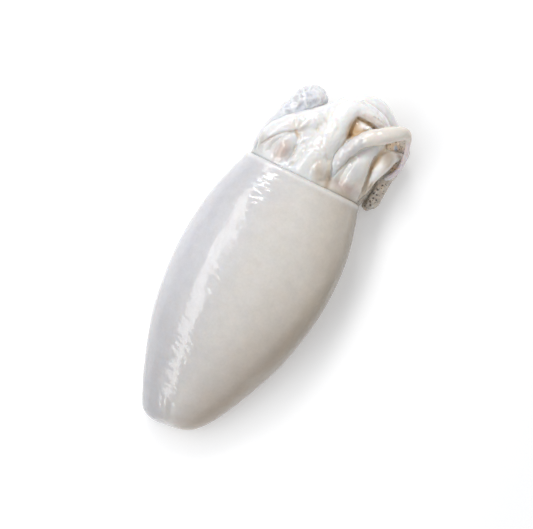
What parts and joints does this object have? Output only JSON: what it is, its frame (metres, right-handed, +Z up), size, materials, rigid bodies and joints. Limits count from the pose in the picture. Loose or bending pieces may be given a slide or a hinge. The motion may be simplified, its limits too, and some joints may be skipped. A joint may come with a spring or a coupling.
{
  "type": "whole raw squid",
  "caption": "Cleaned raw squid lying on its belly: a smooth, short, broad cream-white body narrowing to a round tail, with the folded limbs bunched in its open cut end.",
  "frame": {"origin": "on the table, at the middle of the flat on which the belly lies", "axes": "+Y along the body from the tail's tip to the limbs, +Z up, +X to the right seen from above with the limbs away from the viewer"},
  "size_m": [0.0965, 0.2194, 0.0452],
  "materials": {
    "body_flesh": "smooth, wet and faintly see-through, cream white, cooler grey-blue along the left side",
    "limb_flesh": "wrinkled, wet and shiny, bluish white to cream, tan in the creases"
  },
  "bodies": {
    "root": {"body_tube": "body_flesh", "head_and_limbs": "limb_flesh"}
  },
  "joints": []
}
